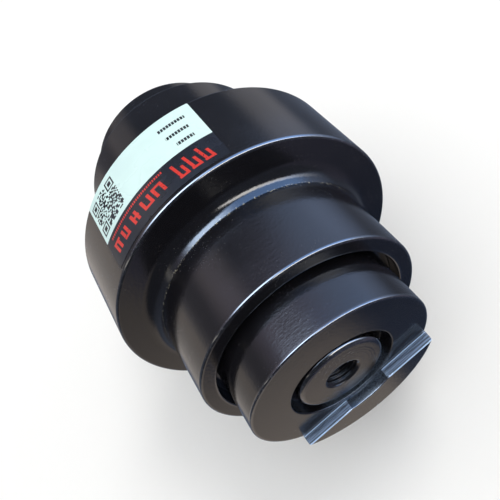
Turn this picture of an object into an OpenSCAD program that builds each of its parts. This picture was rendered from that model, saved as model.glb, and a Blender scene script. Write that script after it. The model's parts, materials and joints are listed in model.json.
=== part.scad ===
// Bottom track roller with one wide centre flange, for a compact excavator.
// The roller axis is Y and the origin is the middle of the roller. The two
// ends are the same: the front end is at -Y and the rear end at +Y. +Z is up
// towards the track frame's side, and the locating steps of both end collars
// lie at the bottom, at -Z.

/* [Roller shell] */
// Diameter of the centre flange
flange_d = 140; // [136:0.5:146]
// Width of the centre flange
flange_w = 43; // [40:0.5:46]
// Diameter of the two treads
tread_d = 104.5; // [102:0.5:108]
// Width of the shell over both treads
shell_w = 128.6; // [128:0.1:131]
// Slope of the flange's sides, in degrees
side_slope = 5; // [0:0.5:8]
// Radius of the fillet between the flange and a tread
fillet_r = 8; // [7:0.5:9]
// Distance between the two treads, over the flange and its fillets
tread_gap = 56; // [54:0.5:57]
// Rounding of the flange's outer edges
flange_edge = 1.5; // [0.5:0.1:2.5]
// Rounding of the shell's end edges
shell_edge = 1.2; // [0.5:0.1:2]
// Diameter of the mouth at each end of the shell
mouth_d = 90; // [88:0.5:92]

/* [End collars] */
// Diameter of an end collar
collar_d = 84; // [82:0.5:85]
// Distance between the main faces of the two collars
face_span = 171; // [169:0.5:174]
// Height of the locating step above the main face
step_h = 4.9; // [3:0.1:6]
// Distance from the roller axis to the step's locating wall
step_wall = 23.5; // [21:0.5:26]
// Diameter of the recess round the shaft's end
recess_d = 48; // [46:0.5:50]
// Depth of the recess round the shaft's end
recess_h = 7.2; // [4:0.1:8]
// Diameter of the notch through the locating step
notch_d = 52; // [50:0.5:56]
// Chamfer on the collar's outer edges
collar_edge = 0.8; // [0.3:0.1:1]

/* [Shaft] */
// Diameter of the shaft
shaft_d = 40; // [39:0.5:40]
// Rounding of the edges at the ends of the shaft
shaft_edge = 2.1; // [1:0.1:3]
// Minor diameter of the thread in the shaft's ends
thread_minor_d = 13.84; // [13.5:0.01:14]
// Depth of the threaded holes
thread_depth = 32; // [24:1:36]
// Diameter of the countersink at the thread's mouth
countersink_d = 16.1; // [15:0.1:17]

/* [Bearing and seals] */
// Radial clearance between the shaft and a bush
running_gap = 0.05; // [0.02:0.01:0.1]
// End float between a bush flange and a collar's hub
end_float = 0.25; // [0.2:0.05:0.4]
// Outer diameter of a bush
bush_d = 48; // [47:0.5:48]
// Section radius of the toric rubber rings
toric_r = 2.95; // [2.5:0.05:2.95]
// Section radius of the shaft O-rings
o_ring_r = 1.1; // [0.9:0.05:1.1]
// Diameter of the lock pins
pin_d = 6; // [5:0.5:6]

/* [Label] */
// Length of the label round the flange
label_l = 64.6; // [40:0.2:80]
// Width of the label along the roller axis
label_w = 39.4; // [20:0.2:39.4]
// Thickness of the label
label_t = 0.13; // [0.1:0.01:0.15]

/* [Hidden] */
$fn = 96;

paint = "#1d1e21";
steel = "#9a9ca0";
bronze = "#b08850";
iron = "#55585c";
rubber = "#24211f";

// Gap left between two pieces of one body that touch or are pressed together
fit_gap = 0.01;
// How far a cutter reaches past the surface that it opens
past = 2;

flange_r = flange_d / 2;
tread_r = tread_d / 2;
mouth_r = mouth_d / 2;
collar_r = collar_d / 2;
shaft_r = shaft_d / 2;
bush_r = bush_d / 2;
face_y = face_span / 2;
step_y = face_y + step_h;
shell_y = shell_w / 2;

// Places along the axis, from the roller's middle outwards
chamber_y = 18;
bush_in_y = 20;
bush_seat_y = 46;
bush_out_y = 49;
hub_y = bush_out_y + end_float;
seal_y = 57.8;
seat_depth = 9;
mouth_floor_y = 57;
rim_y = 58.2;
o_ring_y = 63;
pin_y = 72.5;

// Radii of the inner steps
chamber_r = 27;
pocket_r = 29.3;
bush_flange_r = 29;
hub_r = 25.5;
seat_r = 38.5;
toric_centre_r = 35.5;
toric_centre_u = 5.2;
seal_in_r = 27.5;
seal_lip_r = 36.5;
o_ring_centre_r = shaft_r + o_ring_r + 0.05;
o_ring_groove_r = o_ring_centre_r + o_ring_r + 0.05;

gallery_r = 3;
plug_r = 4;
plug_l = 8;
plug_seat_l = 10;
hole_floor_y = face_y - thread_depth;
pin_half_l = 34;

// A short arc in an outline, from angle a0 to a1 about [cx, cy]
function arc(cx, cy, r, a0, a1, n = 6) =
    [for (i = [0:n]) let (a = a0 + (a1 - a0) * i / n) [cx + r * cos(a), cy + r * sin(a)]];

// An outline of [radius, y] points made whole with its mirror image about y = 0
function both_ends(half) =
    concat(half, [for (i = [len(half) - 1:-1:0]) [half[i][0], -half[i][1]]]);

// Turns an outline of [radius, y] points about the roller axis
module revolve(outline) rotate([-90, 0, 0]) rotate_extrude() polygon(outline);

// Front end from the rear one
module to_front() mirror([0, 1, 0]) children();

module ring_of_round_section(centre_r, section_r, y)
    translate([0, y, 0]) rotate([-90, 0, 0])
        rotate_extrude() translate([centre_r, 0]) circle(section_r, $fn = 48);

// --- Roller shell ---------------------------------------------------------

// A side of the flange slopes outwards towards the root, and its fillet meets the
// machined tread at an edge. Seen from the flange's corner, root_run is how far
// in the edge lies along the slope, and root_rise how far it stands above it.
root_drop = flange_r - tread_r;
root_out = (tread_gap - flange_w) / 2;
root_run = root_drop * cos(side_slope) + root_out * sin(side_slope);
root_rise = root_out * cos(side_slope) - root_drop * sin(side_slope);
fillet_at = root_run - sqrt(pow(fillet_r, 2) - pow(fillet_r - root_rise, 2));
fillet_sweep = acos(1 - root_rise / fillet_r);
fillet_centre = [flange_r - fillet_at * cos(side_slope) + fillet_r * sin(side_slope),
                 flange_w / 2 + fillet_at * sin(side_slope) + fillet_r * cos(side_slope)];

shell_outline = concat(
    arc(flange_r - flange_edge, flange_w / 2 - flange_edge, flange_edge, 0, 90 - side_slope),
    arc(fillet_centre[0], fillet_centre[1], fillet_r, 270 - side_slope,
        270 - side_slope - fillet_sweep, 14),
    arc(tread_r - shell_edge, shell_y - shell_edge, shell_edge, 0, 90),
    [[mouth_r + 0.8, shell_y], [mouth_r, shell_y - 0.8],
     [mouth_r, mouth_floor_y], [seat_r, mouth_floor_y],
     [seat_r, seal_y - seat_depth], [pocket_r, seal_y - seat_depth],
     [pocket_r, bush_seat_y], [bush_r, bush_seat_y],
     [bush_r, chamber_y], [chamber_r, chamber_y]]);

module roller_shell() color(paint) revolve(both_ends(shell_outline));

// --- Bushes: bronze-lined, flanged, with three axial oil grooves ------------

module rear_bush() color(bronze) difference() {
    revolve([[shaft_r + running_gap, bush_in_y], [bush_r - fit_gap - 0.5, bush_in_y],
             [bush_r - fit_gap, bush_in_y + 0.5], [bush_r - fit_gap, bush_seat_y + fit_gap],
             [bush_flange_r, bush_seat_y + fit_gap], [bush_flange_r, bush_out_y - 0.5],
             [bush_flange_r - 0.5, bush_out_y], [shaft_r + running_gap, bush_out_y]]);
    for (turn = [0:120:240]) rotate([0, turn, 0])
        translate([-1.5, bush_in_y - past, shaft_r - 1])
            cube([3, bush_out_y - bush_in_y + 2 * past, 2]);
}

module front_bush() to_front() rear_bush();

// --- Shaft ------------------------------------------------------------------

shaft_outline = concat(
    [[0, face_y]], arc(shaft_r - shaft_edge, face_y - shaft_edge, shaft_edge, 90, 0, 8));

// Threaded hole at its minor diameter, with a 45 degree countersink
module rear_thread_hole() revolve([
    [0, hole_floor_y], [thread_minor_d / 2, hole_floor_y],
    [thread_minor_d / 2, face_y - (countersink_d - thread_minor_d) / 2],
    [countersink_d / 2 + past, face_y + past], [0, face_y + past]]);

// Hole of a lock pin, half in the shaft and half in the collar
module rear_pin_hole() translate([0, pin_y, -shaft_r]) rotate([0, 90, 0])
    cylinder(h = collar_d + past, r = pin_d / 2 + fit_gap, center = true);

module shaft() color(paint) difference() {
    revolve(both_ends(shaft_outline));
    rear_thread_hole();
    to_front() rear_thread_hole();
    rear_pin_hole();
    to_front() rear_pin_hole();
    // oil gallery from the front threaded hole to the cross hole in the middle
    translate([0, -hole_floor_y - past, 0]) rotate([-90, 0, 0])
        cylinder(h = plug_seat_l + past, r = plug_r + fit_gap);
    translate([0, -hole_floor_y, 0]) rotate([-90, 0, 0])
        cylinder(h = hole_floor_y + gallery_r / 2, r = gallery_r);
    cylinder(h = shaft_d + past, r = gallery_r, center = true);
}

// --- End collars ------------------------------------------------------------

collar_outline = concat(
    [[shaft_r + fit_gap, hub_y], [hub_r - 0.6, hub_y], [hub_r, hub_y + 0.6],
     [hub_r, seal_y + seat_depth], [seat_r, seal_y + seat_depth],
     [seat_r, rim_y], [collar_r - collar_edge, rim_y], [collar_r, rim_y + collar_edge]],
    [[collar_r, step_y - collar_edge], [collar_r - collar_edge, step_y],
     [shaft_r + fit_gap, step_y]],
    [[shaft_r + fit_gap, o_ring_y + 1.5], [o_ring_groove_r, o_ring_y + 1.5],
     [o_ring_groove_r, o_ring_y - 1.5], [shaft_r + fit_gap, o_ring_y - 1.5]]);

// All that lies outside the main face, above the locating wall
module rear_face_cut() translate([-collar_r - past, face_y, -step_wall])
    cube([collar_d + 2 * past, step_h + past, collar_d]);

// Chamfer on the main face's rim, which stops just short of the locating wall
module rear_rim_cut() intersection() {
    revolve([[collar_r - collar_edge - past, face_y + past],
             [collar_r + past, face_y - collar_edge - past], [collar_r + past, face_y + past]]);
    translate([-collar_r - 2 * past, face_y - 3 * past, -step_wall + collar_edge])
        cube([collar_d + 4 * past, 5 * past, collar_d]);
}

// Recess round the shaft's end, and the wider notch that it opens in the step
module rear_recess_cut() revolve([
    [0, face_y - recess_h], [recess_d / 2, face_y - recess_h], [recess_d / 2, face_y],
    [notch_d / 2, face_y], [notch_d / 2, step_y + past], [0, step_y + past]]);

// Shallow groove along the locating wall, a third of the way up it
groove_y = face_y + step_h / 3;
groove_w = 0.5;
groove_h = 0.4;
groove_half_l = sqrt(pow(collar_r, 2) - pow(step_wall, 2)) - 2.5;
module rear_wall_groove()
    translate([-groove_half_l, groove_y, -step_wall - groove_h])
        cube([2 * groove_half_l, groove_w, groove_h + past]);

module rear_collar() color(paint) difference() {
    revolve(collar_outline);
    rear_face_cut();
    rear_rim_cut();
    rear_recess_cut();
    rear_pin_hole();
    rear_wall_groove();
}

module front_collar() to_front() rear_collar();

// --- Lock pins --------------------------------------------------------------

module rear_lock_pin() color(steel) translate([0, pin_y, -shaft_r]) rotate([0, 90, 0]) {
    half = [[0, pin_half_l], [pin_d / 2 - 0.6, pin_half_l], [pin_d / 2, pin_half_l - 0.6]];
    rotate_extrude() polygon(both_ends(half));
}

module front_lock_pin() to_front() rear_lock_pin();

// --- Static seals between the collars and the shaft --------------------------

module rear_shaft_o_ring() color(rubber)
    ring_of_round_section(o_ring_centre_r, o_ring_r, o_ring_y);

module front_shaft_o_ring() to_front() rear_shaft_o_ring();

// --- Floating face seals ------------------------------------------------------
// Each end has two equal metal rings that meet face to face at seal_y, each
// carried by a toric rubber ring. u is the distance from the meeting plane.

face_gap = 0.05;
module seal_ring() color(iron) revolve([
    [seal_in_r, face_gap], [seal_lip_r, face_gap], [seal_lip_r, 2],
    [33.2, 2.2], [31.8, 7.5], [seal_in_r, 7.5]]);

module toric_ring() color(rubber)
    ring_of_round_section(toric_centre_r, toric_r, toric_centre_u);

module at_rear_seal() translate([0, seal_y, 0]) children();
module turning_side() mirror([0, 1, 0]) children();

module rear_fixed_seal_ring() at_rear_seal() seal_ring();
module rear_turning_seal_ring() at_rear_seal() turning_side() seal_ring();
module rear_fixed_toric_ring() at_rear_seal() toric_ring();
module rear_turning_toric_ring() at_rear_seal() turning_side() toric_ring();

module front_fixed_seal_ring() to_front() rear_fixed_seal_ring();
module front_turning_seal_ring() to_front() rear_turning_seal_ring();
module front_fixed_toric_ring() to_front() rear_fixed_toric_ring();
module front_turning_toric_ring() to_front() rear_turning_toric_ring();

// --- Oil plug, pressed in at the bottom of the front threaded hole ------------

module oil_plug() color(steel) translate([0, -hole_floor_y + 1, 0]) rotate([-90, 0, 0])
    difference() {
        rotate_extrude() polygon([[0, 0], [plug_r - 0.4, 0], [plug_r, 0.4],
                                  [plug_r, plug_l - 0.4], [plug_r - 0.4, plug_l], [0, plug_l]]);
        translate([0, 0, -past]) cylinder(h = past + 3, r = 2, $fn = 6);
    }

// --- Adhesive label on the flange ---------------------------------------------

label_centre_angle = 92.5;
label_centre_y = 0.8;
label_angle = label_l / flange_r * 180 / PI;
module label() color("white") rotate([-90, 0, 0])
    rotate([0, 0, -label_centre_angle - label_angle / 2])
        rotate_extrude(angle = label_angle, $fn = 180)
            translate([flange_r + fit_gap, label_centre_y - label_w / 2])
                square([label_t, label_w]);

roller_shell();
front_bush();
rear_bush();
shaft();
front_collar();
rear_collar();
front_lock_pin();
rear_lock_pin();
front_shaft_o_ring();
rear_shaft_o_ring();
front_fixed_seal_ring();
rear_fixed_seal_ring();
front_fixed_toric_ring();
rear_fixed_toric_ring();
front_turning_seal_ring();
rear_turning_seal_ring();
front_turning_toric_ring();
rear_turning_toric_ring();
oil_plug();
label();
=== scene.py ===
"""A bottom track roller with one wide centre flange: visible pieces, finishes and a pale studio."""

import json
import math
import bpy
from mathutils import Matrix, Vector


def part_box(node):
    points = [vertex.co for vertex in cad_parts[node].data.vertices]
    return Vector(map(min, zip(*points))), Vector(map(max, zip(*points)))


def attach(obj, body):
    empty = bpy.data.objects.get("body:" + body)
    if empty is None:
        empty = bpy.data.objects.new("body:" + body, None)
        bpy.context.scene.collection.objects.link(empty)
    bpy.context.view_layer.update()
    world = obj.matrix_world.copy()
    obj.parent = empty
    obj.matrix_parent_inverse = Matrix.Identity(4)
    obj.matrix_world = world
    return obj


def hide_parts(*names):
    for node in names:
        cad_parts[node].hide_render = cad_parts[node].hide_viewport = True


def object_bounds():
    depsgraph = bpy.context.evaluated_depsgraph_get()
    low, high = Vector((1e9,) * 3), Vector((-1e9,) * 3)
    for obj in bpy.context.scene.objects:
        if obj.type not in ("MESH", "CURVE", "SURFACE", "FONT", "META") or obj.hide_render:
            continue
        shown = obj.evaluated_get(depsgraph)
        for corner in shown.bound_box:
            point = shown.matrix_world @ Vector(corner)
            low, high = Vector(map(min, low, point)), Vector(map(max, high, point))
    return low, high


bl_info = {
    "name": "Track roller",
    "version": (1, 0, 0),
    "blender": (4, 5, 0),
    "location": "3D View > Sidebar > Track roller",
    "description": "Makes the painted pieces, seals, threads and label of a track roller",
    "category": "Add Mesh",
}

import bmesh
import bpy
from bpy.props import FloatProperty, FloatVectorProperty, IntProperty, PointerProperty
from mathutils import Matrix, Vector

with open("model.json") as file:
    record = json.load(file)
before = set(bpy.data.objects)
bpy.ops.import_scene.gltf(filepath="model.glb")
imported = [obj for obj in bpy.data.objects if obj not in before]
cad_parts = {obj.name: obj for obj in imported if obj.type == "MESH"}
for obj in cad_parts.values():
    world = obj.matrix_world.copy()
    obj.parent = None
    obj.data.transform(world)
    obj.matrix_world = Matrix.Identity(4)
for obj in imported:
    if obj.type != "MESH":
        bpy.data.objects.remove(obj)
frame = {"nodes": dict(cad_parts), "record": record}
CAD_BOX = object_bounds()

MM = 0.001


# --- Places that the CAD model settles ------------------------------------------------------


def reach(node, axis):
    """How far a CAD node reaches along one axis, away from the roller's middle."""
    low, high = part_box(node)
    return max(abs(low[axis]), abs(high[axis]))


FLANGE_R = reach("roller_shell", 0)
SHELL_Y = reach("roller_shell", 1)
COLLAR_R = reach("rear_collar", 0)
STEP_Y = reach("rear_collar", 1)
HUB_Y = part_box("rear_collar")[0].y
SHAFT_R = reach("shaft", 0)
FACE_Y = reach("shaft", 1)
PIN_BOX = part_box("rear_lock_pin")
PIN_R = (PIN_BOX[1].z - PIN_BOX[0].z) / 2
PIN_PLACE = (PIN_BOX[0] + PIN_BOX[1]) / 2
FLOOR_Z = CAD_BOX[0].z


# --- Sizes, colours and lights that a user may change -----------------------------------------


def length(name, description, default):
    """A size in metres, shown in the scene's units; default is in millimetres."""
    return FloatProperty(name=name, description=description, default=default * MM,
                         min=0, unit="LENGTH", precision=5)


def colour(name, description, default):
    return FloatVectorProperty(name=name, description=description, default=default,
                               subtype="COLOR", size=3, min=0, max=1)


def light(name, description, default):
    """The light that one part of the surroundings sends, where 1 is white."""
    return FloatVectorProperty(name=name, description=description, default=default,
                               subtype="COLOR", size=3, min=0, soft_max=10)


class RollerSizes(bpy.types.PropertyGroup):
    """Sizes of the turned pieces that a node's box alone does not give."""

    tread_d: length("Tread diameter", "Diameter of the two treads", 104.5)
    flange_w: length("Flange width", "Width of the centre flange", 43)
    root_d: length("Root corner diameter", "Diameter where a side's slope would meet the root's", 107.72)
    root_w: length("Root corner width", "Distance between those corners of the two sides", 45.82)
    root_round: length("Root rounding", "Radius between a side of the flange and its root", 7.9)
    tread_gap: length("Tread gap", "Distance between the two treads, over the flange's root", 56)
    flange_edge: length("Flange edge", "Rounding of the flange's outer edges", 1.4)
    shell_edge: length("Shell edge", "Rounding of the shell's end edges", 1.2)
    mouth_d: length("Mouth", "Diameter of the mouth at each end of the shell", 90)
    step_wall: length("Locating wall", "Distance from the axis to the step's wall", 23.5)
    recess_d: length("Recess", "Diameter of the recess round the shaft's end", 48)
    recess_h: length("Recess depth", "Depth of the recess round the shaft's end", 7.2)
    notch_d: length("Notch", "Diameter of the notch through the step", 52)
    paint_edge: length("Painted edge", "Rounding that the paint leaves on sharp edges", 0.8)
    shaft_edge: length("Shaft edge", "Rounding of the edges at the ends of the shaft", 2.1)
    thread_d: length("Thread", "Major diameter of the thread in the shaft", 16)
    thread_minor_d: length("Thread minor", "Minor diameter of the thread", 13.84)
    thread_pitch: length("Pitch", "Pitch of the thread", 2)
    thread_depth: length("Thread depth", "Depth of the threaded holes", 32)
    segments: IntProperty(name="Segments", description="Steps round a turned piece",
                          default=288, min=48, max=512)


class PaintLook(bpy.types.PropertyGroup):
    """The black paint, its flaws, and colours that paint a sky reflection and a glint on it."""

    black: colour("Black", "Colour of the paint", (0.0052, 0.0050, 0.0062))
    dust: colour("Dust", "Colour of fine dust on the paint", (0.16, 0.145, 0.125))
    primer: colour("Thin paint", "Colour where the paint is thin on an edge", (0.07, 0.075, 0.085))
    # chipped paint on the edge where the treads begin, whose warm pale line is also a painted glint
    # along that edge
    chips: colour("Chips", "Colour of chipped paint where the treads begin", (0.36, 0.33, 0.24))
    # unpainted steel on the steps' walls, lightened and tinted blue as a painted reflection of the sky
    bare: colour("Bare steel", "Colour of the steel that shows on the steps' walls", (0.42, 0.57, 0.80))
    roughness: FloatProperty(name="Roughness", description="Roughness of the paint",
                             default=0.13, min=0, max=1, subtype="FACTOR")
    rim_gloss: FloatProperty(name="Rim gloss", description="Extra gloss where the paint pools on a rim",
                             default=0.9, min=0, max=1, subtype="FACTOR")


class LabelLook(bpy.types.PropertyGroup):
    """The adhesive label on the flange."""

    white: colour("White", "White panel of the label", (0.62, 0.82, 0.81))
    black: colour("Black", "Dark panel and dark print of the label", (0.007, 0.008, 0.011))
    red: colour("Red", "Red print of the label", (0.56, 0.03, 0.02))
    dark_panel_w: length("Dark panel", "Width of the dark panel along the roller axis", 15.4)
    corner: length("Corner", "Radius of the label's corners", 0.6)


class StudioLook(bpy.types.PropertyGroup):
    """The floor, the light all round and the camera."""

    floor: colour("Floor", "Colour of the pale floor", (0.86, 0.86, 0.85))
    warm: colour("Warm ground", "Light from the ground on the left", (0.58, 0.505, 0.45))
    cool: colour("Cool ground", "Light from the ground on the right", (0.06, 0.085, 0.15))
    shade: colour("Shade", "Light from where nothing bright stands", (0.16, 0.19, 0.26))
    blue_sky: light("Blue sky", "Light from overhead on the right", (1.7, 3.0, 5.8))
    bright_sky: light("Bright sky", "Light from straight overhead", (11.5, 14.5, 19.0))
    sun_band: light("Sunlit band", "Light from a band high up in front", (12.5, 12.2, 11.7))
    lens: FloatProperty(name="Lens", description="Focal length of the camera in millimetres",
                        default=39.61, min=10, max=200)


GROUPS = {"track_roller_sizes": RollerSizes, "track_roller_paint": PaintLook,
          "track_roller_label": LabelLook, "track_roller_studio": StudioLook}


# --- Node trees ---------------------------------------------------------------------------------


class Wire:
    """What one socket of a node gives. Arithmetic with it adds Math nodes to its tree."""

    def __init__(self, socket):
        self.socket = socket
        self.tree = socket.id_data

    def __add__(self, other):
        return calc("ADD", self, other)

    def __sub__(self, other):
        return calc("SUBTRACT", self, other)

    def __mul__(self, other):
        return calc("MULTIPLY", self, other)

    def __truediv__(self, other):
        return calc("DIVIDE", self, other)

    def __pow__(self, other):
        return calc("POWER", self, other)

    def __abs__(self):
        return calc("ABSOLUTE", self)

    def __gt__(self, other):
        return calc("GREATER_THAN", self, other)

    def __lt__(self, other):
        return calc("LESS_THAN", self, other)

    def ramp(self, low, high, to_low=0.0, to_high=1.0, ease="SMOOTHSTEP"):
        """From low..high to to_low..to_high, held outside them, eased at both ends or LINEAR."""
        return wire(self.tree, "ShaderNodeMapRange", (self, low, high, to_low, to_high),
                    interpolation_type=ease)


def connect(node, values):
    """Gives a node its inputs, by order or by name: wires are linked, others set."""
    for key, value in (values.items() if isinstance(values, dict) else enumerate(values)):
        if isinstance(value, Wire):
            value.tree.links.new(value.socket, node.inputs[key])
        else:
            node.inputs[key].default_value = value


def put(tree, kind, values=(), **settings):
    """Adds a node with its settings and inputs."""
    made = tree.nodes.new(kind)
    for name, setting in settings.items():
        setattr(made, name, setting)
    connect(made, values)
    return made


def wire(tree, kind, values=(), output=0, **settings):
    """Adds a node and gives one of its outputs."""
    return Wire(put(tree, kind, values, **settings).outputs[output])


def calc(operation, *values, clamp=False):
    """A Math node over values, of which at least one is a wire."""
    tree = next(value.tree for value in values if isinstance(value, Wire))
    return wire(tree, "ShaderNodeMath", values, operation=operation, use_clamp=clamp)


def largest(masks):
    most = masks[0]
    for mask in masks[1:]:
        most = calc("MAXIMUM", most, mask)
    return most


def split(vector):
    """The x, y and z of a vector."""
    return [Wire(part) for part in put(vector.tree, "ShaderNodeSeparateXYZ", (vector,)).outputs]


def join(x, y, z=0.0):
    """The vector with these parts, of which x is a wire."""
    return wire(x.tree, "ShaderNodeCombineXYZ", (x, y, z))


def distance(a, b):
    """How far the point a, b lies from 0, 0. With x and z it is the distance from the axis."""
    return calc("SQRT", a ** 2.0 + b ** 2.0)


def noise(at, scale, detail=2.0, roughness=0.5):
    return wire(at.tree, "ShaderNodeTexNoise",
                {"Vector": at, "Scale": scale, "Detail": detail, "Roughness": roughness})


def mix(factor, a, b, blend="MIX"):
    """Colour a where factor is 0, and b where it is 1, or with ADD the sum of both."""
    made = put(factor.tree, "ShaderNodeMix", {"Factor": factor}, data_type="RGBA", blend_type=blend)
    for socket, value in zip([s for s in made.inputs if s.type == "RGBA"], (a, b)):
        if isinstance(value, Wire):
            value.tree.links.new(value.socket, socket)
        else:
            socket.default_value = (*value[:3], 1.0)
    return Wire(next(s for s in made.outputs if s.type == "RGBA"))


FLOAT, VECTOR, INTEGER = "NodeSocketFloat", "NodeSocketVector", "NodeSocketInt"
GEOMETRY, FINISH = "NodeSocketGeometry", "NodeSocketMaterial"


def new_group(name, kind, inputs, outputs):
    """An empty node group with sockets (name, type, default); its input wires by name."""
    tree = bpy.data.node_groups.new(name, kind)
    for direction, sockets in (("INPUT", inputs), ("OUTPUT", outputs)):
        for socket_name, socket_type, default in sockets:
            made = tree.interface.new_socket(socket_name, in_out=direction, socket_type=socket_type)
            if default is not None:
                made.default_value = default
    given = {s.name: Wire(s) for s in tree.nodes.new("NodeGroupInput").outputs if s.name}
    return tree, given, tree.nodes.new("NodeGroupOutput")


def mask_group(name, inputs, outputs):
    """An empty shader group that turns numbers, and a position given as None, into masks."""
    return new_group(
        name, "ShaderNodeTree",
        [(key, VECTOR if value is None else FLOAT, value) for key, value in inputs.items()],
        [(key, FLOAT, None) for key in outputs])


def made_once(build):
    """The node tree of build's name, which build makes when it is first asked for."""
    return bpy.data.node_groups.get(build.__name__) or build()


def use(build, inputs):
    """Places a shader group, and gives its outputs by name."""
    tree = next(value.tree for value in inputs.values() if isinstance(value, Wire))
    made = put(tree, "ShaderNodeGroup", inputs, node_tree=made_once(build))
    return {socket.name: Wire(socket) for socket in made.outputs}


# --- Geometry Nodes: turning an outline, and cutting a thread -----------------------------------


def finished_tree(geometry, finish, result):
    """Ends a tree with its instances made real and the finish on every face."""
    real = wire(geometry.tree, "GeometryNodeRealizeInstances", (geometry,))
    painted = wire(real.tree, "GeometryNodeSetMaterial", {"Geometry": real, "Material": finish})
    connect(result, (painted,))
    return geometry.tree


def turn_outline():
    """Turns the outline held in the object's own points (radius, y) about the Y axis."""
    tree, given, result = new_group(
        "turn_outline", "GeometryNodeTree",
        [("Outline", GEOMETRY, None), ("Segments", INTEGER, 96), ("Finish", FINISH, None)],
        [("Geometry", GEOMETRY, None)])
    count = wire(tree, "GeometryNodeAttributeDomainSize", (given["Outline"],), "Point Count")
    grid = wire(tree, "GeometryNodeMeshGrid",
                {"Vertices X": given["Segments"] + 1.0, "Vertices Y": count})
    index = wire(tree, "GeometryNodeInputIndex")
    radius, along, _ = split(wire(tree, "GeometryNodeSampleIndex", {
        "Geometry": given["Outline"], "Value": wire(tree, "GeometryNodeInputPosition"),
        "Index": calc("FLOORED_MODULO", index, count)}, data_type="FLOAT_VECTOR"))
    angle = calc("FLOOR", index / count) / given["Segments"] * math.tau
    turned_points = join(radius * calc("COSINE", angle), along, radius * calc("SINE", angle))
    moved = wire(tree, "GeometryNodeSetPosition", {"Geometry": grid, "Position": turned_points})
    closed = wire(tree, "GeometryNodeMergeByDistance", {"Geometry": moved, "Distance": 0.002 * MM})
    smooth = wire(tree, "GeometryNodeSetShadeSmooth", {"Geometry": closed})
    return finished_tree(smooth, given["Finish"], result)


def cut_thread():
    """Moves the points of a hole's wall outwards into a helical V groove, a right-hand thread."""
    tree, given, result = new_group(
        "cut_thread", "GeometryNodeTree",
        [("Geometry", GEOMETRY, None), ("Minor Radius", FLOAT, 0.007), ("Depth", FLOAT, 0.001),
         ("Pitch", FLOAT, 0.002), ("Starts At", FLOAT, 0.05), ("Finish", FINISH, None)],
        [("Geometry", GEOMETRY, None)])
    minor, depth = given["Minor Radius"], given["Depth"]
    x, y, z = split(wire(tree, "GeometryNodeInputPosition"))
    radius = distance(x, z)
    turn = calc("ARCTAN2", z, x) / math.tau
    phase = calc("FRACT", y / given["Pitch"] + turn)
    groove = abs(phase * 2.0 - 1.0).ramp(0.12, 0.9, ease="LINEAR")
    scale = calc("MAXIMUM", radius, groove * depth + minor) / radius
    in_hole = (abs(y) > given["Starts At"]) * calc("COMPARE", radius, minor, depth)
    moved = wire(tree, "GeometryNodeSetPosition",
                 {"Geometry": given["Geometry"], "Selection": in_hole,
                  "Position": join(x * scale, y, z * scale)})
    return finished_tree(moved, given["Finish"], result)


def nodes_modifier(piece, build, **inputs):
    """Adds a Geometry Nodes modifier, with its inputs set by the sockets' identifiers."""
    tree = made_once(build)
    modifier = piece.modifiers.new(tree.name, "NODES")
    modifier.node_group = tree
    for socket in tree.interface.items_tree:
        key = socket.name.lower().replace(" ", "_")
        if socket.in_out == "INPUT" and key in inputs:
            modifier[socket.identifier] = inputs[key]


def applied(piece):
    """Makes what the piece's modifiers give its own plain mesh, and removes them."""
    bpy.context.view_layer.update()
    graph = bpy.context.evaluated_depsgraph_get()
    mesh = bpy.data.meshes.new_from_object(piece.evaluated_get(graph), depsgraph=graph)
    piece.modifiers.clear()
    old, piece.data = piece.data, mesh
    bpy.data.meshes.remove(old)
    mesh.name = piece.name
    return piece


# --- Meshes ---------------------------------------------------------------------------------------


def new_piece(name, vertices=(), edges=(), faces=()):
    mesh = bpy.data.meshes.new(name)
    mesh.from_pydata([tuple(v) for v in vertices], edges, faces)
    piece = bpy.data.objects.new(name, mesh)
    bpy.context.scene.collection.objects.link(piece)
    return piece


def rounded(corners, closed=True, steps=6, hold=0.2 * MM):
    """An outline through corners (radius, y, rounding), with arcs and a holding point beside each."""
    outline = []
    count = len(corners)
    for i, (r, y, rounding) in enumerate(corners):
        here = Vector((r, y))
        if rounding == 0 or (not closed and i in (0, count - 1)):
            outline.append(here)
            continue
        back = Vector(corners[i - 1][:2]) - here
        on = Vector(corners[(i + 1) % count][:2]) - here
        half = back.angle(on) / 2
        run = rounding / math.tan(half)
        centre = here + (back.normalized() + on.normalized()).normalized() * rounding / math.sin(half)
        first, last = here + back.normalized() * run, here + on.normalized() * run
        a0 = math.atan2(first.y - centre.y, first.x - centre.x)
        sweep = math.atan2(last.y - centre.y, last.x - centre.x) - a0
        sweep = (sweep + math.pi) % math.tau - math.pi
        outline.append(here + back.normalized() * (run + min(hold, (back.length - run) / 3)))
        for k in range(steps + 1):
            a = a0 + sweep * k / steps
            outline.append(centre + rounding * Vector((math.cos(a), math.sin(a))))
        outline.append(here + on.normalized() * (run + min(hold, (on.length - run) / 3)))
    if closed:
        outline.append(outline[0].copy())
    return outline


def both_ends(half):
    """Corners of the rear half, from the outside inwards, made whole with their mirror image."""
    return half + [(r, -y, rounding) for r, y, rounding in reversed(half)]


def face_outwards(piece):
    """Points every face of a closed mesh outwards."""
    work = bmesh.new()
    work.from_mesh(piece.data)
    bmesh.ops.recalc_face_normals(work, faces=work.faces)
    if work.calc_volume(signed=True) < 0:
        bmesh.ops.reverse_faces(work, faces=work.faces)
    work.to_mesh(piece.data)
    work.free()
    return piece


def turned(name, outline, material, segments):
    """A solid of revolution about the roller axis."""
    piece = new_piece(name, [(p.x, p.y, 0) for p in outline])
    nodes_modifier(piece, turn_outline, segments=segments, finish=material)
    return face_outwards(applied(piece))


def block(name, low, high):
    """A plain box between two corners, for cutting."""
    corners = [(x, y, z) for x in (low[0], high[0]) for y in (low[1], high[1])
               for z in (low[2], high[2])]
    faces = [(0, 1, 3, 2), (4, 6, 7, 5), (0, 4, 5, 1), (2, 3, 7, 6), (0, 2, 6, 4), (1, 5, 7, 3)]
    return face_outwards(new_piece(name, corners, [], faces))


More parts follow.
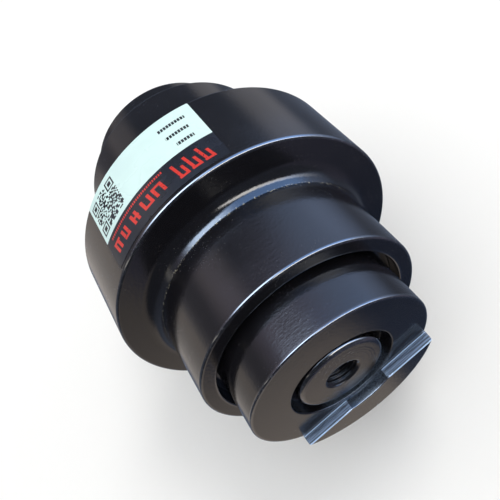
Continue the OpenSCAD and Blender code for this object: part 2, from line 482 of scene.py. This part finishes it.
def cut(piece, cutters):
    """Takes the cutters out of the piece, and deletes them."""
    for cutter in cutters:
        modifier = piece.modifiers.new(cutter.name, "BOOLEAN")
        modifier.operation = "DIFFERENCE"
        modifier.solver = "EXACT"
        modifier.object = cutter
    applied(piece)
    for cutter in cutters:
        bpy.data.objects.remove(cutter)
    return piece


def round_edges(piece, width, share_at, least_angle=30):
    """Rounds the outer edges by width, times the share that share_at gives for an edge's middle."""
    work = bmesh.new()
    work.from_mesh(piece.data)
    bmesh.ops.remove_doubles(work, verts=work.verts, dist=0.004 * MM)
    bmesh.ops.dissolve_limit(work, angle_limit=math.radians(0.2), verts=work.verts,
                             edges=work.edges, delimit={"SHARP"})
    layer = work.edges.layers.float.new("bevel_weight_edge")
    for edge in work.edges:
        if len(edge.link_faces) == 2 and edge.calc_face_angle() > math.radians(least_angle):
            if edge.is_convex:
                edge[layer] = share_at((edge.verts[0].co + edge.verts[1].co) / 2)
            else:
                edge.smooth = False
    for face in work.faces:
        face.smooth = True
    work.to_mesh(piece.data)
    work.free()
    bevel = piece.modifiers.new("rounding", "BEVEL")
    bevel.width, bevel.segments, bevel.limit_method = width, 3, "WEIGHT"
    bevel.use_clamp_overlap = False
    bevel.face_strength_mode = "FSTR_AFFECTED"
    normals = piece.modifiers.new("normals", "WEIGHTED_NORMAL")
    normals.keep_sharp = True
    normals.use_face_influence = True
    normals.weight = 100
    applied(piece)
    # the large flat faces keep their own normals right up to their edges
    mesh, large = piece.data, 22 * MM ** 2
    corner_normals = [Vector(normal.vector) for normal in mesh.corner_normals]
    for face in mesh.polygons:
        if face.area > large and len(face.vertices) > 4:
            for corner in face.loop_indices:
                corner_normals[corner] = face.normal.copy()
    mesh.normals_split_custom_set(corner_normals)
    return piece


def mirrored(piece, name):
    """A copy of a rear piece for the front end, its mirror image about y = 0."""
    twin = new_piece(name)
    twin.data = piece.data.copy()
    twin.data.transform(Matrix.Scale(-1, 4, (0, 1, 0)))
    twin.data.flip_normals()
    return twin


def settle(piece, body, slot, *nodes):
    """Puts a finished piece under its body and hides the CAD nodes that it stands for."""
    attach(piece, body)
    if nodes:
        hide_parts(*nodes)
    return piece


# --- Finishes ---------------------------------------------------------------------------------------


def new_material(name):
    """A material, its Principled shader, and where on the roller a point lies."""
    material = bpy.data.materials.new(name)
    material.use_nodes = True
    tree = material.node_tree
    return material, tree.nodes["Principled BSDF"], wire(tree, "ShaderNodeTexCoord", output="Object")


def bumps(height, strength, deep=0.02 * MM):
    """The normals that a height gives."""
    return wire(height.tree, "ShaderNodeBump",
                {"Strength": strength, "Distance": deep, "Height": height})


def turned_grain():
    """Grain that runs round the roller, as turning leaves it, and fine orange peel over it."""
    tree, given, result = mask_group(
        "turned_grain",
        {"Position": None, "Lines per mm": 1.5, "Peel size mm": 1.2, "Line Strength": 0.3},
        ["Height", "Mottle", "Lines"])
    at = given["Position"]
    x, y, z = split(at)
    per_metre = given["Lines per mm"] * (1 / MM)
    lines = noise(join(distance(x, z) * per_metre, y * per_metre,
                       calc("COSINE", calc("ARCTAN2", z, x))), 1.0, 3.0, 0.6)
    peel = noise(at, calc("DIVIDE", 1 / MM, given["Peel size mm"]))
    connect(result, {"Height": lines * given["Line Strength"] + peel, "Lines": lines,
                     "Mottle": noise(at, 38.0, 5.0, 0.6)})
    return tree


def rim_wear():
    """Ragged mask along one circular edge at both ends of the roller, and how near the edge is."""
    tree, given, result = mask_group(
        "rim_wear", {"Position": None, "Radius": 0.05, "Distance": 0.05, "Width": 0.001},
        ["Mask", "Near"])
    x, y, z = split(given["Position"])
    away = distance(distance(x, z) - given["Radius"], abs(y) - given["Distance"])
    near = (away / given["Width"]).ramp(1.3, 0.2, ease="LINEAR")
    ragged = noise(given["Position"], 900.0, 4.0).ramp(0.52, 0.7)
    connect(result, {"Mask": near * ragged, "Near": near})
    return tree


def step_wall():
    """Masks of the locating steps' walls, of the lines along them with painted highlights, and of the
    notch's speckled painted sky reflection.
    """
    tree, given, result = mask_group(
        "step_wall", {"Position": None, "Height": -0.02, "Inner": 0.08, "Outer": 0.09,
                      "Notch Radius": 0.025}, ["Mask", "Lines", "Notch"])
    x, y, z = split(given["Position"])
    mask = calc("COMPARE", z, given["Height"], 0.45 * MM) * (abs(y) > given["Inner"])
    # a painted highlight along both long sides of the wall, a dark line beside each, and stripes
    across = (abs(y) - given["Inner"]) / (given["Outer"] - given["Inner"])
    off = abs(across * 2.0 - 1.0)
    stripes = noise(join(x * 60.0, y * 1500.0), 1.0).ramp(0.38, 0.6) * off.ramp(0.72, 0.6)
    outline = off.ramp(0.78, 0.84) * 1.5
    # the notch's ring, lighter lower down and speckled: a painted sky reflection
    ring = calc("COMPARE", distance(x, z), given["Notch Radius"], 1.2 * MM)
    low = z.ramp(-14 * MM, -21 * MM)
    speckle = noise(given["Position"], 2400.0).ramp(0.3, 0.7)
    connect(result, {"Mask": mask, "Lines": stripes * 0.6 + outline,
                     "Notch": ring * low * speckle})
    return tree


def black_paint(name, edges, lines=0.5, roughness_shift=0.0, rim_width=1.1 * MM, chip_and_glint_line=None,
                wall=None):
    """Semi-gloss black paint over turned steel. Each edge is a worn rim's (radius, distance out).

    chip_and_glint_line is an edge with chipped paint and a painted glint, and wall holds the inputs of a
    step_wall, whose unpainted steel carries a painted sky reflection and painted highlights.
    """
    look = bpy.context.scene.track_roller_paint
    material, shader, at = new_material(name)

    def rim(edge, width):
        return use(rim_wear, {"Position": at, "Radius": edge[0], "Distance": edge[1],
                              "Width": width})

    grain = use(turned_grain, {"Position": at, "Line Strength": lines})
    rims = [rim(edge, rim_width) for edge in edges]
    wear = largest([worn["Mask"] for worn in rims])
    near = largest([worn["Near"] for worn in rims])
    dust = noise(at, 1500.0).ramp(0.635, 0.75) * grain["Mottle"].ramp(0.4, 0.7)
    body = mix(grain["Mottle"].ramp(0.3, 0.75), look.black, [1.35 * c for c in look.black])
    body = mix(wear * 0.7, body, look.primer)
    # the chipped line where the treads begin, which is also a painted glint along that edge
    if chip_and_glint_line:
        body = mix(rim(chip_and_glint_line, 0.55 * MM)["Mask"], body, look.chips)
    body = mix(dust * 0.3, body, look.dust)
    usual = look.roughness + roughness_shift
    rough = grain["Mottle"].ramp(0.3, 0.75, usual - 0.025, usual + 0.045) + dust * 0.2
    rough = calc("MULTIPLY_ADD", wear, 0.08, rough, clamp=True)
    if wall:
        # the steps' walls: unpainted steel with stripes along them, whose blue tone is a painted sky
        # reflection and whose bright outline is a painted highlight; the notch gets a speckled painted
        # sky reflection
        bare = use(step_wall, {"Position": at, **wall})
        rough = calc("MAXIMUM", rough, bare["Mask"] * 0.75)
        shown = calc("MULTIPLY_ADD", bare["Lines"], 0.6, 0.1, clamp=True)
        body = mix(bare["Mask"] * shown, body, look.bare)
        body = mix(bare["Notch"] * 0.16, body, look.bare)
    connect(shader, {"Base Color": body, "Roughness": rough, "IOR": 1.5,
                     "Coat Weight": near * look.rim_gloss, "Coat IOR": 2.1, "Coat Roughness": 0.1,
                     "Normal": bumps(grain["Height"], 1.0, 0.035 * MM)})
    return material


def metal(name, base, roughness, lines=1.0):
    """Bare turned or ground metal."""
    material, shader, at = new_material(name)
    grain = use(turned_grain, {"Position": at, "Line Strength": lines, "Lines per mm": 3.0})
    rough = grain["Mottle"].ramp(0.3, 0.7, roughness - 0.06, roughness + 0.08)
    connect(shader, {"Base Color": mix(grain["Lines"], [0.72 * c for c in base], base),
                     "Roughness": rough, "Metallic": 1.0, "Normal": bumps(grain["Height"], 0.5)})
    return material


def rubber(name):
    """Matt black nitrile rubber with a moulded skin."""
    material, shader, at = new_material(name)
    grain = use(turned_grain, {"Position": at, "Line Strength": 0.1, "Peel size mm": 0.4})
    connect(shader, {
        "Base Color": mix(grain["Mottle"], (0.012, 0.011, 0.011), (0.026, 0.024, 0.022)),
        "Roughness": grain["Mottle"].ramp(0.3, 0.7, 0.5, 0.68),
        "Normal": bumps(grain["Height"], 0.4)})
    return material


# --- The label's print -------------------------------------------------------------------------------


def print_block():
    """Mask of a leaning rectangle on the label, in millimetres: 1 inside and 0 outside."""
    tree, given, result = mask_group(
        "print_block",
        {"U": 0, "V": 0, "Left": 0, "Right": 1, "Low": 0, "High": 1, "Lean": 0}, ["Mask"])
    u, v = given["U"], given["V"]
    leaned = u - (v - given["Low"]) * given["Lean"]
    connect(result, {"Mask": (leaned > given["Left"]) * (leaned < given["Right"])
                     * (v > given["Low"]) * (v < given["High"])})
    return tree


def label_film(label_l, label_w):
    """Glossy printed film: a white panel with a code patch and dashes, a dark one with red bars."""
    look = bpy.context.scene.track_roller_label
    material, shader, at = new_material("label_film")
    along, across, _ = split(wire(at.tree, "ShaderNodeUVMap", uv_map="print"))
    u, v = along * (label_l / MM), across * (label_w / MM)
    panel_w = look.dark_panel_w / MM

    def area(left, right, low, high, lean=0.0):
        return use(print_block, {"U": u, "V": v, "Left": left, "Right": right, "Low": low,
                                 "High": high, "Lean": lean})["Mask"]

    def dashed(mask, period, share):
        """The mask broken into dashes along the label."""
        return mask * (calc("FRACT", u / period) < share)

    # code patch: a square field of random cells, which stands for no code
    cell, patch_left, patch_low = 0.74, 1.6, panel_w + 2.6
    patch_w = 25 * cell
    columns = calc("FLOOR", (u - patch_left) / cell)
    rows = calc("FLOOR", (v - patch_low) / cell)
    dark = wire(at.tree, "ShaderNodeTexWhiteNoise", {"Vector": join(columns, rows, 7.0)},
                noise_dimensions="3D") > 0.47
    for column, row in ((3, 3), (3, 21), (21, 21)):
        # a square target in three corners: a dark middle, a pale ring, a dark ring, a pale margin
        away = calc("MAXIMUM", abs(columns - column), abs(rows - row))
        target = calc("MAXIMUM", away < 1.5, calc("COMPARE", away, 3.0, 0.5))
        dark = calc("MAXIMUM", target, dark * (away > 4.5))
    patch = dark * area(patch_left, patch_left + patch_w, patch_low, patch_low + patch_w)
    # three dashed lines where a user would write
    lines = [area(right - run, right, panel_w + low, panel_w + low + 1.9)
             for right, run, low in ((58.6, 8.0, 3.6), (58.9, 10.8, 9.8), (60.0, 13.0, 16.2))]
    dashes = dashed(largest(lines), 1.35, 0.74)
    # red print: slanting bars of two heights and a thin dashed line
    lean = -0.2
    red = [area(44.4 + 2.9 * i, 45.7 + 2.9 * i, 2.9, 12.0 - 3.2 * (i % 2), lean) for i in range(6)]
    red += [area(44.0 + 5.8 * i, 48.2 + 5.8 * i, 2.9, 4.1, lean) for i in range(3)]
    red += [area(left, left + 1.5, 4.4, 10.1, lean)
            for left in (4.6, 7.2, 11.2, 13.8, 18.6, 21.2, 25.6, 29.6, 32.4, 36.4)]
    red += [area(left, left + 3.8, low, low + 1.2, lean)
            for left, low in ((4.8, 8.9), (11.4, 4.4), (18.8, 6.6), (26.0, 4.4), (33.0, 8.9))]
    red.append(dashed(area(4.2, 39.4, 12.5, 13.7), 1.1, 0.6))
    scuffed_red = largest(red) * noise(at, 900.0, 4.0).ramp(0.3, 0.36)

    white_panel = area(-1.0, label_l / MM + 1.0, panel_w, label_w / MM + 1.0)
    shade = noise(at, 60.0, 3.0)
    paper = mix(shade.ramp(0.3, 0.7), look.white, [0.93 * c for c in look.white])
    printed = mix(white_panel, look.black, paper)
    printed = mix(largest([patch, dashes]), printed, look.black)
    printed = mix(scuffed_red, printed, look.red)
    connect(shader, {"Base Color": printed, "Roughness": shade.ramp(0.3, 0.7, 0.24, 0.34),
                     "Normal": bumps(noise(at, 160.0), 0.3, 0.05 * MM)})
    return material


# --- Operators: one for each piece or group of like pieces --------------------------------------------


class PieceOperator(bpy.types.Operator):
    bl_options = {"REGISTER", "UNDO"}


class TRACKROLLER_OT_shell(PieceOperator):
    """Turn the roller shell: centre flange, treads and the seats inside."""

    bl_idname = "trackroller.shell"
    bl_label = "Roller shell"

    def execute(self, context):
        size = context.scene.track_roller_sizes
        flange_y, tread_r, mouth_r = size.flange_w / 2, size.tread_d / 2, size.mouth_d / 2
        # the seats inside for the seals, the bushes' flanges and the bushes, and the oil chamber
        seal_r, bush_flange_r, bush_r, chamber_r = 38.5 * MM, 29.3 * MM, 24 * MM, 27 * MM
        seal_out, seal_in, bush_out, bush_in = 57 * MM, 48.8 * MM, 46 * MM, 18 * MM
        corners = both_ends([
            (FLANGE_R, flange_y, size.flange_edge),
            (size.root_d / 2, size.root_w / 2, size.root_round),
            (tread_r, size.tread_gap / 2, 0.25 * MM),
            (tread_r, SHELL_Y, size.shell_edge),
            (mouth_r, SHELL_Y, 0.7 * MM),
            (mouth_r, seal_out, 0.5 * MM),
            (seal_r, seal_out, 0.5 * MM),
            (seal_r, seal_in, 1.0 * MM),
            (bush_flange_r, seal_in, 0.3 * MM),
            (bush_flange_r, bush_out, 0.3 * MM),
            (bush_r, bush_out, 0.3 * MM),
            (bush_r, bush_in, 0.4 * MM),
            (chamber_r, bush_in, 1.0 * MM)])
        # the edge where the treads begin gets chipped paint with a painted glint
        paint = black_paint("black_paint", [(FLANGE_R, flange_y), (tread_r, SHELL_Y),
                                            (mouth_r, SHELL_Y)],
                            chip_and_glint_line=(tread_r, size.tread_gap / 2))
        shell = turned("shell", rounded(corners, steps=8), paint, size.segments)
        settle(shell, "roller", "black_paint", "roller_shell")
        return {"FINISHED"}


class TRACKROLLER_OT_collars(PieceOperator):
    """Make the two end collars: turned, cut to the locating step, drilled and edge-rounded."""

    bl_idname = "trackroller.collars"
    bl_label = "End collars"

    def execute(self, context):
        size = context.scene.track_roller_sizes
        bore = SHAFT_R + 0.01 * MM
        past = 2 * MM
        rim = size.paint_edge
        hub_r, seal_r, seal_in, inner_y = 25.5 * MM, 38.5 * MM, 66.8 * MM, 58.2 * MM
        ring_r, ring_in, ring_out = 22.3 * MM, 61.5 * MM, 64.5 * MM
        # the wall inputs lay the painted sky reflection and painted highlights on the steps' walls
        paint = black_paint("collar_paint", [(COLLAR_R, FACE_Y), (COLLAR_R, STEP_Y),
                                             (size.notch_d / 2, STEP_Y)],
                            wall={"Height": -size.step_wall, "Inner": FACE_Y + 0.2 * MM,
                                  "Outer": STEP_Y, "Notch Radius": 25 * MM})
        collar = turned("rear_end_collar", rounded([
            (bore, HUB_Y, 0), (hub_r, HUB_Y, 0.4 * MM), (hub_r, seal_in, 1 * MM),
            (seal_r, seal_in, 1 * MM), (seal_r, inner_y, 0.4 * MM),
            (COLLAR_R, inner_y, rim), (COLLAR_R, STEP_Y, rim), (bore, STEP_Y, 0),
            (bore, ring_out, 0), (ring_r, ring_out, 0), (ring_r, ring_in, 0),
            (bore, ring_in, 0)]), paint, size.segments)
        # the main face with its rounded rim, as the shape of the stock above it
        above_face = turned("above_face", rounded([
            (0, FACE_Y, 0), (COLLAR_R + 0.005 * MM, FACE_Y, rim),
            (COLLAR_R + 0.005 * MM, FACE_Y - 1.2 * rim, 0),
            (COLLAR_R + past, FACE_Y - 1.2 * rim, 0),
            (COLLAR_R + past, STEP_Y + past, 0), (0, STEP_Y + past, 0)]), paint, size.segments)
        wall, recess_r, notch_r = size.step_wall, size.recess_d / 2, size.notch_d / 2
        cut(above_face, [block("below_wall", (-2 * COLLAR_R, 0, -2 * COLLAR_R),
                               (2 * COLLAR_R, 2 * STEP_Y, -wall))])
        recess = turned("recess", rounded([
            (0, FACE_Y - size.recess_h, 0), (recess_r, FACE_Y - size.recess_h, 0.6 * MM),
            (recess_r, FACE_Y, 0), (notch_r, FACE_Y, 0), (notch_r, STEP_Y + past, 0),
            (0, STEP_Y + past, 0)]), paint, size.segments)
        pin_hole = turned("pin_hole", rounded([
            (0, -COLLAR_R - past, 0), (PIN_R, -COLLAR_R - past, 0), (PIN_R, COLLAR_R + past, 0),
            (0, COLLAR_R + past, 0)]), paint, 48)
        pin_hole.data.transform(Matrix.Translation(PIN_PLACE) @ Matrix.Rotation(math.pi / 2, 4, "Z"))
        groove_y, groove_w = FACE_Y + (STEP_Y - FACE_Y) / 3, 0.5 * MM
        groove_l = math.sqrt(COLLAR_R ** 2 - wall ** 2) - 2.5 * MM
        wall_groove = block("wall_groove", (-groove_l, groove_y, -wall - 0.4 * MM),
                            (groove_l, groove_y + groove_w, -wall + past))
        cut(collar, [above_face, recess, pin_hole, wall_groove])

        def share_at(middle):
            """How much of the width an edge is rounded by, from where it lies."""
            radius, out = math.hypot(middle.x, middle.z), abs(middle.y)
            in_groove = abs(out - groove_y - groove_w / 2) < 0.3 * MM
            if in_groove and middle.z < 0.2 * MM - wall and middle.z > -wall - 0.5 * MM:
                return 0.12
            if out < 66 * MM or radius < SHAFT_R + 3 * MM:
                return 0.25
            if abs(out - PIN_PLACE.y) < PIN_R + 0.5 * MM:
                return 0.4
            return 0.62

        twin = mirrored(collar, "front_end_collar")
        for end_collar, node in ((collar, "rear_collar"), (twin, "front_collar")):
            end_collar.data.materials.clear()
            end_collar.data.materials.append(paint)
            round_edges(end_collar, size.paint_edge, share_at)
            settle(end_collar, "axle", "black_paint", node)
        return {"FINISHED"}


class TRACKROLLER_OT_shaft(PieceOperator):
    """Turn the shaft with its rounded ends and cut the threads in both of them."""

    bl_idname = "trackroller.shaft"
    bl_label = "Shaft with threaded ends"

    def execute(self, context):
        size = context.scene.track_roller_sizes
        minor_r = size.thread_minor_d / 2
        floor_y = FACE_Y - size.thread_depth
        sink_r, lip = minor_r + 1.13 * MM, 0.06 * MM
        half = [Vector((SHAFT_R, 0))]
        half += rounded([(SHAFT_R, 0, 0), (SHAFT_R, FACE_Y, size.shaft_edge),
                         (sink_r + 0.5 * MM, FACE_Y, 0)], closed=False, steps=12)[1:]
        half += [Vector((sink_r + 0.1 * MM, FACE_Y)), Vector((sink_r, FACE_Y - lip))]
        # the outer 14 mm of the hole's wall, where the thread shows, in rows of points to move
        row = 0.12 * MM
        for k in range(1, int(14 * MM / row)):
            y = FACE_Y - lip - k * row
            half.append(Vector((max(minor_r, sink_r - (FACE_Y - y)), y)))
        half += [Vector((minor_r, floor_y)), Vector((0, floor_y - 3 * MM))]
        outline = half[::-1] + [Vector((p.x, -p.y)) for p in half[1:]]
        paint = black_paint("shaft_paint", [(SHAFT_R, FACE_Y)], lines=1.6,
                            roughness_shift=0.02, rim_width=2 * MM)
        shaft = turned("threaded_shaft", outline, paint, 192)
        nodes_modifier(shaft, cut_thread, minor_radius=minor_r,
                       depth=(size.thread_d - size.thread_minor_d) / 2, pitch=size.thread_pitch,
                       starts_at=floor_y + size.thread_pitch, finish=paint)
        applied(shaft)
        settle(shaft, "axle", "shaft_paint", "shaft")
        return {"FINISHED"}


class TRACKROLLER_OT_inner_pieces(PieceOperator):
    """Give the bushes, seals, pins and plug their unpainted metal and rubber."""

    bl_idname = "trackroller.inner_pieces"
    bl_label = "Bushes, seals, pins and plug"

    def execute(self, context):
        finishes = {
            "bush_bronze": metal("bush_bronze", (0.55, 0.34, 0.15), 0.28),
            "seal_iron": metal("seal_iron", (0.33, 0.33, 0.34), 0.22, lines=0.5),
            "pin_steel": metal("pin_steel", (0.46, 0.46, 0.47), 0.3),
            "seal_rubber": rubber("seal_rubber")}
        slots = {s["node"]: s["material_slot"] for s in frame["record"]["subparts"]}
        for name, node in frame["nodes"].items():
            finish = finishes.get(slots.get(name))
            if finish:
                node.data.materials.clear()
                node.data.materials.append(finish)
        return {"FINISHED"}


class TRACKROLLER_OT_label(PieceOperator):
    """Lay the printed label on the flange."""

    bl_idname = "trackroller.label"
    bl_label = "Label"

    def execute(self, context):
        look = context.scene.track_roller_label
        low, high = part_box("label")
        label_w = high.y - low.y
        strips, glue, film_top = 90, 0.015 * MM, 0.025 * MM
        node = frame["nodes"]["label"]
        angles = [math.atan2(v.co.z, v.co.x) for v in node.data.vertices]
        first, last = max(angles), min(angles)
        label_l = (first - last) * FLANGE_R
        thickness = max(math.hypot(v.co.x, v.co.z) for v in node.data.vertices) - FLANGE_R
        work = bmesh.new()
        outline = rounded([(0, 0, look.corner), (label_l, 0, look.corner),
                           (label_l, label_w, look.corner), (0, label_w, look.corner)], hold=0.05 * MM)
        face = work.faces.new([work.verts.new((p.x, p.y, 0)) for p in outline[:-1]])
        for k in range(1, strips):
            bmesh.ops.bisect_plane(work, geom=work.verts[:] + work.edges[:] + work.faces[:],
                                   plane_co=(label_l * k / strips, 0, 0), plane_no=(1, 0, 0))
        layer = work.loops.layers.uv.new("print")
        up = bmesh.ops.extrude_face_region(work, geom=work.faces[:])["geom"]
        bmesh.ops.translate(work, vec=(0, 0, thickness - film_top),
                            verts=[v for v in up if isinstance(v, bmesh.types.BMVert)])
        for face in work.faces:
            for loop in face.loops:
                loop[layer].uv = (loop.vert.co.x / label_l, loop.vert.co.y / label_w)
        for vert in work.verts:
            angle = first - vert.co.x / FLANGE_R
            r = FLANGE_R + glue + vert.co.z
            vert.co = (r * math.cos(angle), low.y + vert.co.y, r * math.sin(angle))
        label = new_piece("printed_label")
        work.to_mesh(label.data)
        work.free()
        face_outwards(label)
        label.data.materials.append(label_film(label_l, label_w))
        label.data.set_sharp_from_angle(angle=math.radians(40))
        settle(label, "roller", "label_film", "label")
        return {"FINISHED"}


# --- Floor, light and camera -----------------------------------------------------------------------


def soft_box(value, low, high, soft):
    """1 where value lies from low to high, fading to 0 over soft at both ends."""
    return value.ramp(low - soft / 2, low + soft / 2) * value.ramp(high + soft / 2, high - soft / 2)


# Cards that stand behind the roller: where they stand round its axis, in degrees from +X towards
# +Z, and how far out from the +Y axis, in degrees, each from, to and softness; and their light.
CARDS = {
    "pale card over the flange": ((103, 137, 18), (30, 57, 6), (0.45, 0.38, 0.34)),
    "strip on the right": ((-24, 10, 16), (30, 49, 8), (0.50, 0.46, 0.44)),
    "warm card low on the left": ((172, 225, 11), (38, 71, 6), (0.56, 0.47, 0.36)),
    "dim card by the warm one": ((163, 176, 8), (38, 75, 6), (0.16, 0.15, 0.14)),
    "dim card on the left": ((130, 185, 20), (30, 75, 10), (0.12, 0.08, 0.05))}


def studio_light(look):
    """What the gloss shows: sky, cards and a two-toned ground. Everything else gets even white light.

    turn is the direction round the roller's axis, from +X towards +Z, and tilt is the direction
    out from the +Y axis, both in degrees.
    """
    world = bpy.data.worlds.new("studio")
    bpy.context.scene.world = world
    world.use_nodes = True
    world.cycles.sampling_method = "NONE"
    tree = world.node_tree
    x, y, z = split(wire(tree, "ShaderNodeTexCoord", output="Generated"))
    turn = calc("DEGREES", calc("ARCTAN2", z, x))
    turn = calc("FLOORED_MODULO", turn + 90.0, 360.0) - 90.0
    tilt = calc("DEGREES", calc("ARCCOSINE", y))

    # pale sky above a skyline, which is higher straight above the roller
    skyline = turn.ramp(20, 95, 49, 58) + turn.ramp(100, 125, 0, -6)
    above = (tilt - skyline).ramp(-8, 7)
    sky = mix(turn.ramp(20, 100), (1.1, 1.43, 2.2), (1.05, 0.95, 1.24))
    lit = mix(above * soft_box(turn, -16, 130, 44), look.shade, sky)
    for around, out, tint in CARDS.values():
        lit = mix(soft_box(turn, *around) * soft_box(tilt, *out), lit, tint, "ADD")

    # brighter sky overhead, down to an edge in front, and little light below that edge
    below = (tilt - turn.ramp(60, 90, 121, 108)).ramp(-5, 5)
    bright = mix(turn.ramp(62, 92), look.blue_sky, look.bright_sky)
    lit = mix(tilt.ramp(60, 80) * soft_box(turn, 2, 118, 22), lit, bright)
    lit = mix(below, lit, mix(turn.ramp(70, 90), look.shade, [0.4 * c for c in look.shade]))
    # the sunlit band slants down round the roller, and a thin line stands on the left
    from_band = tilt - (turn * 0.33 + 114.0)
    band = turn.ramp(-25, 50) * turn.ramp(80, 72) * soft_box(from_band, -6.2, 6.2, 5)
    lit = mix(band, lit, look.sun_band, "ADD")
    thin = soft_box(turn, 147, 153, 4) * soft_box(tilt, 80, 120, 10)
    lit = mix(thin, lit, (1.5, 1.4, 1.2), "ADD")

    # ground in front: warm on the left, in cool shade on the right
    border = z.ramp(-0.80, -0.91, -0.34, -0.09) + z.ramp(-0.78, -0.65, 0, -0.05)
    left = (border - x).ramp(-0.03, 0.03)
    right = mix(z.ramp(-0.9, -0.58), look.cool, (0.25, 0.25, 0.37))
    ground = y.ramp(-0.1, -0.25) * z.ramp(-0.35, -0.55)
    lit = mix(ground, lit, mix(left, right, look.warm))

    glossy = wire(tree, "ShaderNodeLightPath", output="Is Glossy Ray")
    connect(tree.nodes["Background"], {"Color": mix(glossy, (1.0, 1.0, 1.0), lit)})


def area_light(name, place, aim, size, power, tint):
    """A round lamp that the gloss does not show."""
    data = bpy.data.lights.new(name, "AREA")
    data.shape, data.size, data.energy, data.color = "DISK", size, power, tint
    light = bpy.data.objects.new(name, data)
    bpy.context.scene.collection.objects.link(light)
    light.location = place
    light.visible_glossy = False
    light.rotation_euler = (Vector(aim) - Vector(place)).to_track_quat("-Z", "Y").to_euler()


class TRACKROLLER_OT_stage(PieceOperator):
    """Lay the pale floor, set the light all round and place the camera."""

    bl_idname = "trackroller.stage"
    bl_label = "Floor, light and camera"

    def execute(self, context):
        look = context.scene.track_roller_studio
        half = 6.0
        floor = new_piece("floor", [(-half, -half, FLOOR_Z), (half, -half, FLOOR_Z),
                                    (half, half, FLOOR_Z), (-half, half, FLOOR_Z)], [],
                          [(0, 1, 2, 3)])
        material, shader, at = new_material("pale_floor")
        pale = mix(noise(at, 3.0, 4.0), look.floor, [0.98 * c for c in look.floor])
        connect(shader, {"Base Color": pale, "Roughness": 0.7, "Specular IOR Level": 0.1})
        floor.data.materials.append(material)
        floor.visible_glossy = False
        studio_light(look)
        area_light("key", place=(0.75, 0.25, 1.1), aim=(0, 0, 0), size=0.55, power=6.5,
                   tint=(1.0, 0.98, 0.95))
        lens = bpy.data.cameras.new("camera")
        lens.lens, lens.sensor_width, lens.sensor_fit = look.lens, 36.0, "HORIZONTAL"
        lens.clip_start = 0.01
        camera = bpy.data.objects.new("camera", lens)
        context.scene.collection.objects.link(camera)
        # what points right and up in the view, made square to each other
        right, up = Vector((0.7184, -0.4865, -0.4972)), Vector((0.6832, 0.6282, 0.3724))
        right.normalize()
        back = right.cross(up).normalized()
        up = back.cross(right)
        place = Matrix((right, up, back)).transposed().to_4x4()
        place.translation = Vector((35.6, -168.9, 207.1)) * MM
        camera.matrix_world = place
        context.scene.camera = camera
        context.scene.view_settings.view_transform = "Standard"
        return {"FINISHED"}


OPERATORS = [TRACKROLLER_OT_shell, TRACKROLLER_OT_collars, TRACKROLLER_OT_shaft,
             TRACKROLLER_OT_inner_pieces, TRACKROLLER_OT_label, TRACKROLLER_OT_stage]


class TRACKROLLER_PT_pieces(bpy.types.Panel):
    """The roller's pieces, its sizes and its looks."""

    bl_idname = "TRACKROLLER_PT_pieces"
    bl_label = "Track roller"
    bl_space_type = "VIEW_3D"
    bl_region_type = "UI"
    bl_category = "Track roller"

    def draw(self, context):
        for operator in OPERATORS:
            self.layout.operator(operator.bl_idname)
        for name, group in GROUPS.items():
            column = self.layout.column()
            for key in group.__annotations__:
                column.prop(getattr(context.scene, name), key)


CLASSES = [*GROUPS.values(), *OPERATORS, TRACKROLLER_PT_pieces]


def register():
    for made in CLASSES:
        bpy.utils.register_class(made)
    for name, group in GROUPS.items():
        setattr(bpy.types.Scene, name, PointerProperty(type=group))


def unregister():
    for name in GROUPS:
        delattr(bpy.types.Scene, name)
    for made in reversed(CLASSES):
        bpy.utils.unregister_class(made)


def main():
    register()
    bpy.ops.trackroller.shell()
    bpy.ops.trackroller.collars()
    bpy.ops.trackroller.shaft()
    bpy.ops.trackroller.inner_pieces()
    bpy.ops.trackroller.label()
    bpy.ops.trackroller.stage()


if __name__ == "__main__":
    main()
